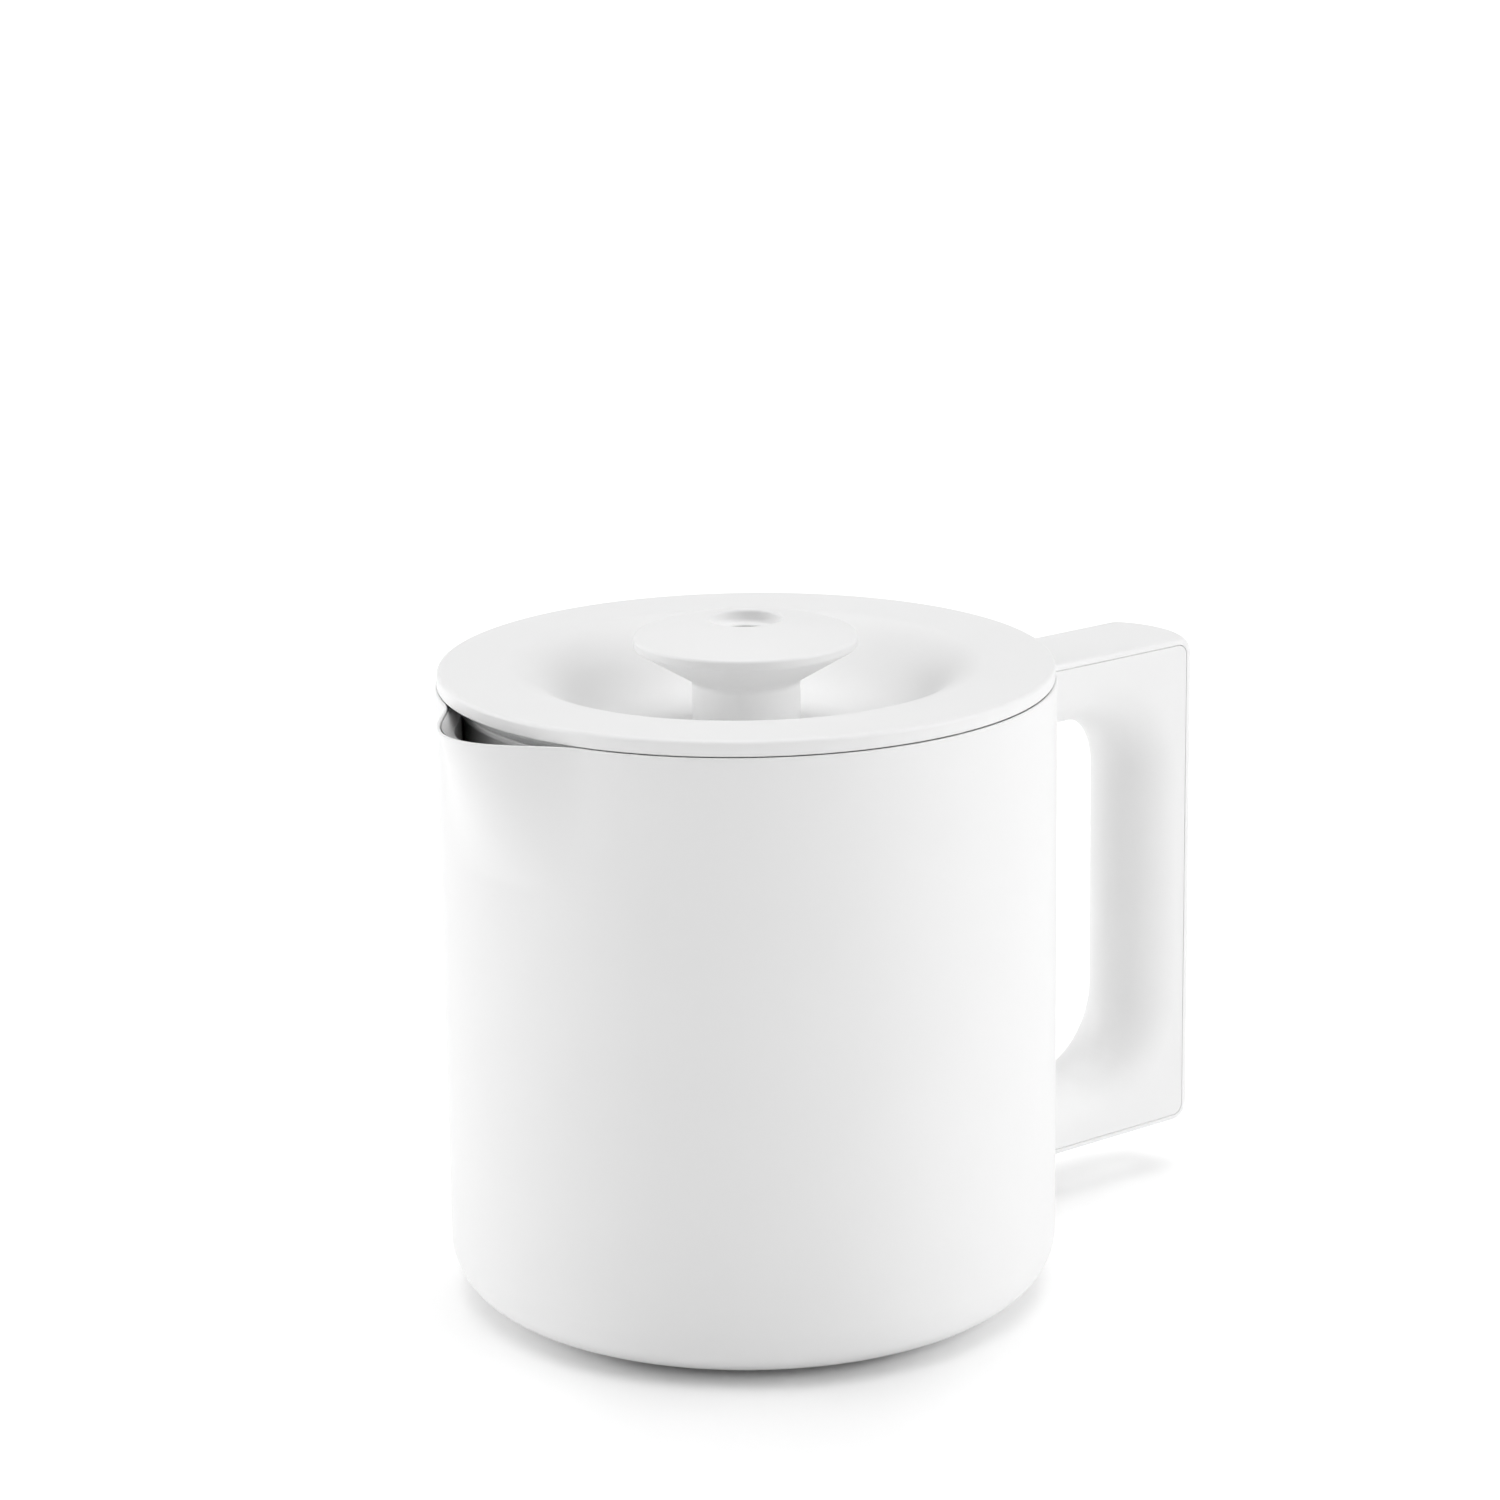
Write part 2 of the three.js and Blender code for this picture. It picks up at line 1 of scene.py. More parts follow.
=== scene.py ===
"""A white thermal carafe: the fine surfaces and finishes, a pale studio and the camera."""

import math

import bmesh
import bpy
import numpy as np
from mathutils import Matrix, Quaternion, Vector


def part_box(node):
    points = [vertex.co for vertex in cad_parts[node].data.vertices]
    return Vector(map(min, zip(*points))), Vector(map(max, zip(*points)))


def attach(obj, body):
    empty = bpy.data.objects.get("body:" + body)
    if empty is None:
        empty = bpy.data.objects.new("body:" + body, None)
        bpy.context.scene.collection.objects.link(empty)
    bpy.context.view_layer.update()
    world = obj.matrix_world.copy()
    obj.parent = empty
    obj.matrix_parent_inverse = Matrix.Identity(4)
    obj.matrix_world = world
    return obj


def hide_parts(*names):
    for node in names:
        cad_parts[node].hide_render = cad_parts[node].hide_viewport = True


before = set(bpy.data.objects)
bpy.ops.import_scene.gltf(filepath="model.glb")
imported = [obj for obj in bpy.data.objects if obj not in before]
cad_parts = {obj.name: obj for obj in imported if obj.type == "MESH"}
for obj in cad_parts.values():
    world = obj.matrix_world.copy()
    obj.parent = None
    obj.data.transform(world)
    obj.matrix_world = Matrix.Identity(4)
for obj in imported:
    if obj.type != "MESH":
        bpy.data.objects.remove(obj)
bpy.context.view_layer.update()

MM = 0.001


def span(node):
    """Lowest and highest corner of a CAD node, in millimetres."""
    low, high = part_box(node)
    return low / MM, high / MM


# Fineness
TURN_SEGMENTS = 192
BEAK_SEGMENTS = 320
FILLET_STEPS = 6
BODY_FILLET_STEPS = 12
SEAL_FILLET_STEPS = 4
COVER_STEPS = 24
COVER_EDGE_STEPS = 4
SEAM_STEPS = 3
HANDLE_END_STEPS = 8
PALM_STEPS = 32
CORNER_STEPS = 14
ROUND_OFF_STEPS = 6
WAVE_STEPS = 40
DOME_STEPS = 16
SOFT_EDGE_SEGMENTS = 2
SHARP_ANGLE = math.radians(40)

# Body, in millimetres as all sizes below
shell_low, shell_high = span("outer_shell")
liner_low, liner_high = span("inner_vessel")
_, pad_high = span("base_pad")
CLEARANCE = 0.3
SHELL_WALL = 0.8
LINER_WALL = 0.8
VACUUM_GAP = 2.2
RIM_ROUNDING = 0.39
BOTTOM_FILLET = 12.3
LINER_FILLET = 10
LINER_FLARE_HEIGHT = 1.5
PAD_CHAMFER = 0.6
body_radius = shell_high.y
rim_height = shell_high.z
pad_radius = pad_high.y + CLEARANCE
liner_outer_radius = body_radius - SHELL_WALL - VACUUM_GAP
liner_inner_radius = liner_outer_radius - LINER_WALL

# Beak
BEAK_HALF_ANGLE = math.radians(22.3)
BEAK_HEIGHT = 34
BEAK_FADE = 1.2
BEAK_RINGS = 28
beak_reach = -shell_low.x - body_radius

# Handle
cover_low, cover_high = span("handle_cover")
HANDLE_END_BULGE = 4.4
HANDLE_END_FILLET = 4.1
COVER_THICKNESS = 1.4
COVER_EDGE = 1.1
SEAM_EDGE = 0.08
SEAM_GAP = 0.1
ROOT_GAP = 0.1
GRIP_DEPTH = 21.2
GRIP_ROUNDING = 12.5
UPPER_ARM_HEIGHT = 17.4
LOWER_ARM_HEIGHT = 15.9
UPPER_FINGER_FILLET = 15.5
LOWER_FINGER_FILLET = 17
half_width = cover_high.y
handle_top = cover_high.z
handle_bottom = cover_low.z
handle_end = cover_high.x
end_radius = (half_width**2 + HANDLE_END_BULGE**2) / (2 * HANDLE_END_BULGE)
cover_inside = handle_end - HANDLE_END_BULGE - COVER_THICKNESS

# Lid
_, lid_high = span("lid_top")
knob_low, knob_high = span("lid_knob")
plug_low, plug_high = span("lid_plug")
seal_low, seal_high = span("lid_seal")
BRIM_THICKNESS = 3.4
BRIM_FILLET = 1
BRIM_WIDTH = 16.1
BRIM_DROP = 0.12
LID_WALL = 2.2
LID_SKIRT_DEPTH = 7.3
DISH_DEPTH = 16
DISH_FLOOR_RADIUS = 28
BOSS_WIDTH = 2.5
BOSS_HEIGHT = 2
PLUG_GAP = 2.5
PLUG_WALL = 2.2
PLUG_FILLET = 4
PLUG_ROOT_FILLET = 0.8
SEAL_SHELF_HEIGHT = 1.5
SEAL_SHELF_GAP = 1.2
SEAL_SHELF_EDGE = 0.4
SEAL_LIP = 0.6
SEAL_EDGE = 0.2
SEAL_TIP = 0.3
COLLAR_WALL = 2
COLLAR_DEPTH = 3
COLLAR_EDGE = 0.5
brim_top = lid_high.z
brim_bottom = brim_top - BRIM_THICKNESS
brim_radius = lid_high.y
dish_radius = brim_radius - BRIM_WIDTH
dish_floor = brim_top - DISH_DEPTH
boss_top = dish_floor + BOSS_HEIGHT
plug_radius = liner_inner_radius - PLUG_GAP
plug_inner_radius = plug_radius - PLUG_WALL
plug_bottom = plug_low.z + COLLAR_DEPTH

# Knob
STEM_RADIUS = 12.2
STEM_HEIGHT = 9.9
STEM_SHOULDER = 1
KNOB_NECK_FILLET = 2
KNOB_CONE_RISE = 7.9
KNOB_RIM_HEIGHT = 2.1
KNOB_RIM_FILLET = 0.9
KNOB_DOME = 4.6
KNOB_WALL = 2.2
SPIGOT_WALL = 1.3
knob_radius = knob_high.y
knob_shoulder = boss_top + CLEARANCE
knob_neck_top = knob_shoulder + STEM_HEIGHT
knob_rim_bottom = knob_neck_top + KNOB_CONE_RISE
knob_rim_top = knob_rim_bottom + KNOB_RIM_HEIGHT
dome_radius = (knob_radius**2 + KNOB_DOME**2) / (2 * KNOB_DOME)
dome_centre = knob_rim_top + KNOB_DOME - dome_radius
boss_radius = STEM_RADIUS + BOSS_WIDTH
spigot_radius = STEM_RADIUS - STEM_SHOULDER
bore_radius = spigot_radius - SPIGOT_WALL

# Coffee inlet: a round recess with a drain in the middle
INLET_DEPTH = 3.4
INLET_RADIUS = 8.2
INLET_EDGE = 0.8
INLET_FLOOR_FILLET = 1
DRAIN_RADIUS = 5
DRAIN_EDGE = 0.4
roof_radius = INLET_RADIUS + KNOB_WALL
inlet_floor = knob_rim_top + KNOB_DOME - INLET_DEPTH

# Camera, for a square picture, in metres and degrees
CAMERA_DISTANCE = 1.0627
CAMERA_TARGET = (0, 0, 0.0762)
CAMERA_AZIMUTH = math.radians(-38)
CAMERA_ELEVATION = math.radians(17.63)
CAMERA_TILT = math.radians(2.638)
CAMERA_ROLL = math.radians(-0.8)
CAMERA_LENS = 111.2

# Floor with a painted glow, its painted shadow patch before the carafe, and lamps: half widths and
# distances in metres, core as a share
FLOOR_SIZE = 12
PAINTED_SHADOW_DISTANCE = 0.082
PAINTED_SHADOW_WIDTH = 0.06
PAINTED_SHADOW_LENGTH = 0.15
PAINTED_SHADOW_CORE = 0.65
LAMP_DISTANCE = 3

# Joining of close points and softening of edges, in metres
MERGE_DISTANCE = 1e-7
WELD_DISTANCE = 1e-6
SOFT_EDGE = 0.0002

# Part of a noise texture's range that finishes use
NOISE_LOW = 0.3
NOISE_HIGH = 0.7


# Outlines

def arc(centre, radius, start, end, steps):
    """Points of an arc, both ends included."""
    return [
        (centre[0] + radius * math.cos(angle), centre[1] + radius * math.sin(angle))
        for angle in np.linspace(start, end, steps + 1)
    ]


def filleted(corners, steps=FILLET_STEPS):
    """An outline of (x, y) points and (x, y, fillet) corners, with the fillets drawn as arcs."""
    points = []
    for i, corner in enumerate(corners):
        if len(corner) == 2:
            points.append(corner)
            continue
        here = Vector(corner[:2])
        before = Vector(corners[i - 1][:2]) - here
        after = Vector(corners[(i + 1) % len(corners)][:2]) - here
        half = before.angle(after) / 2
        inwards = (before.normalized() + after.normalized()).normalized()
        centre = here + inwards * corner[2] / math.sin(half)
        reach = corner[2] / math.tan(half)
        from_centre = here + before.normalized() * reach - centre
        to_centre = here + after.normalized() * reach - centre
        start = math.atan2(from_centre.y, from_centre.x)
        sweep = math.remainder(math.atan2(to_centre.y, to_centre.x) - start, 2 * math.pi)
        points += arc(centre, corner[2], start, start + sweep, steps)
    return points


# Meshes

def add_piece(name, points, faces, material, body, node):
    """A smooth closed piece from points in millimetres, which rides on a body and stands for a node."""
    made = bmesh.new()
    corners = [made.verts.new(Vector(point) * MM) for point in points]
    for face in faces:
        made.faces.new([corners[i] for i in face])
    bmesh.ops.remove_doubles(made, verts=made.verts, dist=MERGE_DISTANCE)
    bmesh.ops.recalc_face_normals(made, faces=made.faces)
    mesh = bpy.data.meshes.new(name)
    made.to_mesh(mesh)
    made.free()
    mesh.shade_smooth()
    mesh.set_sharp_from_angle(angle=SHARP_ANGLE)
    mesh.materials.append(material)
    piece = bpy.data.objects.new(name, mesh)
    bpy.context.scene.collection.objects.link(piece)
    shading = piece.modifiers.new("even_shading", "WEIGHTED_NORMAL")
    shading.keep_sharp = True
    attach(piece, body)
    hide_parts(node)


def grid_faces(rows, columns, close_rows, close_columns):
    """Quads over a grid of points that is listed row by row."""
    return [
        (
            r * columns + c,
            (r + 1) % rows * columns + c,
            (r + 1) % rows * columns + (c + 1) % columns,
            r * columns + (c + 1) % columns,
        )
        for r in range(rows if close_rows else rows - 1)
        for c in range(columns if close_columns else columns - 1)
    ]


def turned(outline, segments=TURN_SEGMENTS, closed=True):
    """Points and faces of an outline of (radius, height) points turned about the Z axis."""
    points = [
        (radius * math.cos(angle), radius * math.sin(angle), height)
        for angle in np.linspace(0, 2 * math.pi, segments, endpoint=False)
        for radius, height in outline
    ]
    return points, grid_faces(segments, len(outline), True, closed)


def with_beak(points):
    """The points with the upper wall pushed out into the beak."""
    pushed = []
    for x, y, z in points:
        rise = (z - rim_height + BEAK_HEIGHT) / BEAK_HEIGHT
        angle = math.atan2(y, -x) / BEAK_HALF_ANGLE
        scale = 1
        if rise > 0 and abs(angle) < 1:
            push = beak_reach * rise**BEAK_FADE * math.cos(angle * math.pi / 2) ** 2
            scale += push / math.hypot(x, y)
        pushed.append((x * scale, y * scale, z))
    return pushed


def beak_rings(radius, top):
    """Points up a wall, close enough together to carry the beak."""
    heights = np.linspace(rim_height - BEAK_HEIGHT, top, BEAK_RINGS, endpoint=False)
    return [(radius, height) for height in heights]


# Body pieces

def add_outer_shell(material):
    foot = shell_low.z
    inside = body_radius - SHELL_WALL
    outline = filleted([
        (pad_radius, foot),
        (body_radius, foot, BOTTOM_FILLET),
        *beak_rings(body_radius, rim_height - 2 * RIM_ROUNDING),
        (body_radius, rim_height, RIM_ROUNDING),
        (inside, rim_height, RIM_ROUNDING),
        *reversed(beak_rings(inside, rim_height - 2 * RIM_ROUNDING)),
        (inside, foot + SHELL_WALL, BOTTOM_FILLET - SHELL_WALL),
        (pad_radius, foot + SHELL_WALL),
    ], BODY_FILLET_STEPS)
    points, faces = turned(outline, BEAK_SEGMENTS)
    add_piece("shell", with_beak(points), faces, material, "carafe", "outer_shell")


def add_inner_vessel(material):
    bottom = liner_low.z
    rim = liner_high.z
    flare_foot = rim - LINER_FLARE_HEIGHT
    flare_radius = liner_high.y
    outline = filleted([
        (0, bottom),
        (liner_outer_radius, bottom, LINER_FILLET + LINER_WALL),
        *beak_rings(liner_outer_radius, flare_foot - LINER_WALL),
        (liner_outer_radius, flare_foot - LINER_WALL),
        (flare_radius, rim - LINER_WALL),
        (flare_radius, rim),
        (liner_inner_radius, flare_foot),
        *reversed(beak_rings(liner_inner_radius, flare_foot - LINER_WALL)),
        (liner_inner_radius, bottom + LINER_WALL, LINER_FILLET),
        (0, bottom + LINER_WALL),
    ], BODY_FILLET_STEPS)
    points, faces = turned(outline, BEAK_SEGMENTS, closed=False)
    add_piece("liner", with_beak(points), faces, material, "carafe", "inner_vessel")


def add_base_pad(material):
    edge = pad_high.y
    outline = filleted([
        (0, 0),
        (edge - PAD_CHAMFER, 0),
        (edge, PAD_CHAMFER, PAD_CHAMFER / 2),
        (edge, pad_high.z),
        (0, pad_high.z),
    ])
    points, faces = turned(outline, closed=False)
    add_piece("pad", points, faces, material, "carafe", "base_pad")


# Handle pieces

def root(y):
    """How far out the handle starts, on the round shell."""
    return math.sqrt((body_radius + ROOT_GAP) ** 2 - y**2)


def cover_section():
    """Points round the cover's section: the place across, the depth and the place of the end face."""
    flat = half_width - COVER_EDGE
    outer = [(y, 0.0) for y in np.linspace(-flat, flat, COVER_STEPS)]
    edge = arc((flat, COVER_EDGE), COVER_EDGE, -math.pi / 2, 0, COVER_EDGE_STEPS)[1:]
    seam_centre = (half_width - SEAM_EDGE, COVER_THICKNESS - SEAM_EDGE)
    seam = arc(seam_centre, SEAM_EDGE, 0, math.pi / 2, SEAM_STEPS)
    right = edge + seam
    left = [(-y, depth) for y, depth in reversed(right)]
    section = []
    for y, depth in left + outer + right:
        bulge = math.sqrt(end_radius**2 - y**2) - end_radius
        end = max(handle_end + bulge - depth, cover_inside)
        section.append((y, depth, end))
    return section


def add_handle_cover(material):
    middle = (handle_top + handle_bottom) / 2
    paths = []
    for y, depth, end in cover_section():
        fillet = HANDLE_END_FILLET - depth
        centre = (end - fillet, handle_top - depth - fillet)
        upper = arc(centre, fillet, math.pi / 2, 0, HANDLE_END_STEPS)
        half = [(root(y), handle_top - depth), *upper]
        mirrored = [(x, 2 * middle - z) for x, z in reversed(half)]
        paths.append([(x, y, z) for x, z in half + mirrored])
    points = [point for path in paths for point in path]
    count = len(paths[0])
    faces = grid_faces(len(paths), count, True, False)
    faces.append([r * count for r in range(len(paths))])
    faces.append([r * count + count - 1 for r in reversed(range(len(paths)))])
    add_piece("cover", points, faces, material, "carafe", "handle_cover")


def grip_corner(fillet, centre, corner, round_off):
    """Inner and outer points round one corner of the finger hole, from its arm to the upright."""
    side = math.copysign(1, corner.y - centre.y)
    before = math.atan2(corner.y - centre.y, corner.x - round_off - centre.x)
    after = math.atan2(corner.y - side * round_off - centre.y, corner.x - centre.x)
    angles = [
        *np.linspace(side * math.pi / 2, before, CORNER_STEPS, endpoint=False),
        *np.linspace(before, after, ROUND_OFF_STEPS, endpoint=False),
        *np.linspace(after, 0, CORNER_STEPS),
    ]
    stations = []
    for angle in angles:
        ray = Vector((math.cos(angle), math.sin(angle)))
        if abs(angle) >= abs(before):
            outer = centre + ray * (corner.y - centre.y) / ray.y
        elif abs(angle) <= abs(after):
            outer = centre + ray * (corner.x - centre.x) / ray.x
        else:
            share = (angle - after) / (before - after)
            turn = side * share * math.pi / 2
            middle = corner - Vector((round_off, side * round_off))
            outer = middle + round_off * Vector((math.cos(turn), math.sin(turn)))
        stations.append((centre + ray * fillet, outer))
    return stations


def grip_section(inner, outer):
    """Points round one section of the grip, with a half-ellipse towards the fingers."""
    along = outer - inner
    length = along.length
    along.normalize()
    palm = [
        (half_width * math.sin(angle), GRIP_ROUNDING * (1 - math.cos(angle)))
        for angle in np.linspace(-math.pi / 2, math.pi / 2, PALM_STEPS)
    ]
    edge_centre = (half_width - SEAM_EDGE, length - SEAM_EDGE)
    edge = arc(edge_centre, SEAM_EDGE, 0, math.pi / 2, SEAM_STEPS)
    back = [(-y, depth) for y, depth in reversed(edge)]
    section = []
    for y, depth in palm + edge + back:
        place = inner + along * depth
        section.append((place.x, y, place.y))
    return section


def add_handle_grip(material):
    inside = handle_end - GRIP_DEPTH
    gap = COVER_THICKNESS + SEAM_GAP
    upper_edge = handle_top - UPPER_ARM_HEIGHT
    lower_edge = handle_bottom + LOWER_ARM_HEIGHT
    top = handle_top - gap
    bottom = handle_bottom + gap
    outside = cover_inside - SEAM_GAP
    round_off = HANDLE_END_FILLET - gap
    upper_centre = Vector((inside - UPPER_FINGER_FILLET, upper_edge - UPPER_FINGER_FILLET))
    lower_centre = Vector((inside - LOWER_FINGER_FILLET, lower_edge + LOWER_FINGER_FILLET))
    upper = grip_corner(UPPER_FINGER_FILLET, upper_centre, Vector((outside, top)), round_off)
    lower = grip_corner(LOWER_FINGER_FILLET, lower_centre, Vector((outside, bottom)), round_off)
    stations = [
        (Vector((body_radius, upper_edge)), Vector((body_radius, top))),
        *upper,
        *reversed(lower),
        (Vector((body_radius, lower_edge)), Vector((body_radius, bottom))),
    ]
    sections = [grip_section(*station) for station in stations]
    for section in (sections[0], sections[-1]):
        section[:] = [(root(y), y, z) for _, y, z in section]
    count = len(sections[0])
    points = [point for section in sections for point in section]
    faces = grid_faces(len(sections), count, False, True)
    faces.append(list(range(count)))
    faces.append([(len(sections) - 1) * count + c for c in reversed(range(count))])
    add_piece("grip", points, faces, material, "carafe", "handle_grip")


# Lid pieces

def dish_wave():
    """The outer wall of the dish, an S-curve from the brim down to the floor."""
    points = []
    for share in np.linspace(1, 0, WAVE_STEPS):
        rise = DISH_DEPTH * (1 - math.cos(math.pi * share)) / 2
        radius = DISH_FLOOR_RADIUS + (dish_radius - DISH_FLOOR_RADIUS) * share
        points.append((radius, dish_floor + rise))
    return points


def boss_flare():
    """The inner part of the dish, which sweeps up to the boss that the knob stands on."""
    return [
        (
            boss_radius + (DISH_FLOOR_RADIUS - boss_radius) * (1 - math.sin(angle)),
            dish_floor + BOSS_HEIGHT * (1 - math.cos(angle)),
        )
        for angle in np.linspace(0, math.pi / 2, WAVE_STEPS)
    ]


def add_lid_top(material):
    skirt_radius = plug_inner_radius - CLEARANCE
    skirt_inside = skirt_radius - LID_WALL
    skirt_bottom = brim_bottom - LID_SKIRT_DEPTH
    boss_bore = spigot_radius + CLEARANCE
    wave = dish_wave()
    outline = filleted([
        (skirt_radius, brim_bottom - BRIM_DROP),
        (brim_radius, brim_bottom - BRIM_DROP, CLEARANCE),
        (brim_radius, brim_top, BRIM_FILLET),
        *wave,
        *boss_flare()[1:],
        (boss_bore, boss_top),
        (boss_bore, dish_floor - LID_WALL),
        *[(radius, height - LID_WALL) for radius, height in reversed(wave)],
        (skirt_inside, brim_top - LID_WALL),
        (skirt_inside, skirt_bottom),
        (skirt_radius, skirt_bottom),
    ])
    points, faces = turned(outline)
    add_piece("lid", points, faces, material, "lid", "lid_top")


def dome_height(radius):
    """Height of the top of the knob, at a distance from its middle."""
    return dome_centre + math.sqrt(dome_radius**2 - radius**2)


def hollow_height(radius):
    """Height of the roof of the hollow in the knob."""
    return dome_centre + math.sqrt((dome_radius - KNOB_WALL) ** 2 - radius**2)


def knob_profile():
    """Half a section of the knob, from the drain through its hollow round to the dome and the inlet."""
    edge = knob_radius - 2 * KNOB_WALL
    dome = [(r, dome_height(r)) for r in np.linspace(knob_radius, INLET_RADIUS, DOME_STEPS)]
    hollow = [(r, hollow_height(r)) for r in np.linspace(roof_radius, edge, DOME_STEPS)]
    return filleted([
        (DRAIN_RADIUS, knob_rim_bottom),
        (roof_radius, knob_rim_bottom),
        *hollow,
        (edge, knob_rim_bottom),
        (bore_radius, knob_neck_top + KNOB_WALL / 2),
        (bore_radius, knob_low.z),
        (spigot_radius, knob_low.z),
        (spigot_radius, knob_shoulder),
        (STEM_RADIUS, knob_shoulder),
        (STEM_RADIUS, knob_neck_top, KNOB_NECK_FILLET),
        (knob_radius, knob_rim_bottom, KNOB_RIM_FILLET),
        (knob_radius, knob_rim_top, KNOB_RIM_FILLET),
        *dome[1:-1],
        (*dome[-1], INLET_EDGE),
        (INLET_RADIUS, inlet_floor, INLET_FLOOR_FILLET),
        (DRAIN_RADIUS, inlet_floor, DRAIN_EDGE),
    ])


def add_lid_knob(material):
    points, faces = turned(knob_profile())
    add_piece("knob", points, faces, material, "lid", "lid_knob")


def add_lid_plug(material):
    chimney_top = knob_low.z - CLEARANCE
    collar_inside = span("valve_cage")[1].y + CLEARANCE
    collar_outside = collar_inside + COLLAR_WALL
    shelf = liner_inner_radius - SEAL_SHELF_GAP
    shelf_top = seal_low.z - CLEARANCE
    floor = plug_bottom + PLUG_WALL
    outline = filleted([
        (bore_radius, plug_bottom),
        (collar_inside, plug_bottom),
        (collar_inside, plug_low.z),
        (collar_outside, plug_low.z, COLLAR_EDGE),
        (collar_outside, plug_bottom, PLUG_ROOT_FILLET),
        (plug_radius, plug_bottom, PLUG_FILLET),
        (plug_radius, shelf_top - SEAL_SHELF_HEIGHT, SEAL_SHELF_EDGE),
        (shelf, shelf_top - SEAL_SHELF_HEIGHT, SEAL_SHELF_EDGE),
        (shelf, shelf_top, SEAL_SHELF_EDGE),
        (plug_radius, shelf_top),
        (plug_radius, plug_high.z),
        (plug_inner_radius, plug_high.z),
        (plug_inner_radius, floor, PLUG_FILLET - PLUG_WALL),
        (spigot_radius, floor, PLUG_ROOT_FILLET),
        (spigot_radius, chimney_top),
        (bore_radius, chimney_top),
    ])
    points, faces = turned(outline)
    add_piece("plug", points, faces, material, "lid", "lid_plug")


def add_lid_seal(material):
    inner = plug_radius + CLEARANCE
    outer = seal_high.y
    bottom = seal_low.z
    top = seal_high.z
    outline = filleted([
        (inner, bottom),
        (outer - SEAL_LIP, bottom, SEAL_EDGE),
        (outer, (bottom + top) / 2, SEAL_TIP),
        (outer - SEAL_LIP, top, SEAL_EDGE),
        (inner, top),
    ], SEAL_FILLET_STEPS)
    points, faces = turned(outline)
    add_piece("seal", points, faces, material, "lid", "lid_seal")


# Finishes

def principled(name, colour, roughness, metallic=0.0):
    """A material with its shader, ready for texture nodes."""
    material = bpy.data.materials.new(name)
    material.use_nodes = True
    shader = material.node_tree.nodes["Principled BSDF"]
    shader.inputs["Base Color"].default_value = (*colour, 1)
    shader.inputs["Roughness"].default_value = roughness
    shader.inputs["Metallic"].default_value = metallic
    return material, shader


def grey(level):
    """A colour without a hue."""
    return (level, level, level)


def noise(material, scale, detail, stretch=(1, 1, 1)):
    """A noise texture in the frame of the object, with its scale in cells per metre."""
    nodes = material.node_tree.nodes
    links = material.node_tree.links
    place = nodes.new("ShaderNodeTexCoord")
    mapping = nodes.new("ShaderNodeMapping")
    mapping.inputs["Scale"].default_value = stretch
    texture = nodes.new("ShaderNodeTexNoise")
    texture.inputs["Scale"].default_value = scale
    texture.inputs["Detail"].default_value = detail
    links.new(place.outputs["Object"], mapping.inputs["Vector"])
    links.new(mapping.outputs["Vector"], texture.inputs["Vector"])
    return texture


def vary_colour(material, shader, texture, low, high):
    """Lets the texture move the colour between two close shades."""
    ramp = material.node_tree.nodes.new("ShaderNodeValToRGB")
    ramp.color_ramp.elements[0].position = NOISE_LOW
    ramp.color_ramp.elements[1].position = NOISE_HIGH
    ramp.color_ramp.elements[0].color = (*low, 1)
    ramp.color_ramp.elements[1].color = (*high, 1)
    material.node_tree.links.new(texture.outputs["Fac"], ramp.inputs["Fac"])
    material.node_tree.links.new(ramp.outputs["Color"], shader.inputs["Base Color"])


def vary_roughness(material, shader, texture, low, high):
    """Lets the texture move the roughness between two values."""
    spread = material.node_tree.nodes.new("ShaderNodeMapRange")
    spread.inputs["From Min"].default_value = NOISE_LOW
    spread.inputs["From Max"].default_value = NOISE_HIGH
    spread.inputs["To Min"].default_value = low
    spread.inputs["To Max"].default_value = high
    material.node_tree.links.new(texture.outputs["Fac"], spread.inputs["Value"])
    material.node_tree.links.new(spread.outputs["Result"], shader.inputs["Roughness"])


def roughen(material, shader, texture, depth):
    """Lets the texture raise the surface, by a depth in metres."""
    bump = material.node_tree.nodes.new("ShaderNodeBump")
    bump.inputs["Strength"].default_value = 1
    bump.inputs["Distance"].default_value = depth
    material.node_tree.links.new(texture.outputs["Fac"], bump.inputs["Height"])
    material.node_tree.links.new(bump.outputs["Normal"], shader.inputs["Normal"])


def white_paint():
    material, shader = principled("white_paint", grey(0.82), 0.4)
    peel = noise(material, 700, 2)
    broad = noise(material, 30, 2)
    vary_colour(material, shader, broad, grey(0.815), grey(0.825))
    vary_roughness(material, shader, peel, 0.36, 0.44)
    roughen(material, shader, peel, 0.00001)
    return material


def paint_recess_light(material, shader, colour, reach):
    """Paints a lighter colour into narrow places: painted light that stands in for light crossing many
    times in pale plastic.
    """
    nodes = material.node_tree.nodes
    links = material.node_tree.links
    plain = shader.inputs["Base Color"].links[0].from_socket
    openness = nodes.new("ShaderNodeAmbientOcclusion")
    openness.samples = 4
    openness.inputs["Distance"].default_value = reach
    mix = nodes.new("ShaderNodeMix")
    mix.data_type = "RGBA"
    mix.inputs["A"].default_value = (*colour, 1)
    links.new(openness.outputs["AO"], mix.inputs["Factor"])
    links.new(plain, mix.inputs["B"])
    links.new(mix.outputs["Result"], shader.inputs["Base Color"])


def white_plastic():
    material, shader = principled("white_plastic", grey(0.82), 0.45)
    grain = noise(material, 3000, 2)
    broad = noise(material, 40, 2)
    vary_colour(material, shader, broad, grey(0.815), grey(0.825))
    # painted light: the plastic's colour is lightened in narrow places, where light would scatter
    paint_recess_light(material, shader, grey(0.98), 0.012)
    vary_roughness(material, shader, grain, 0.4, 0.5)
    roughen(material, shader, grain, 0.000005)
    return material


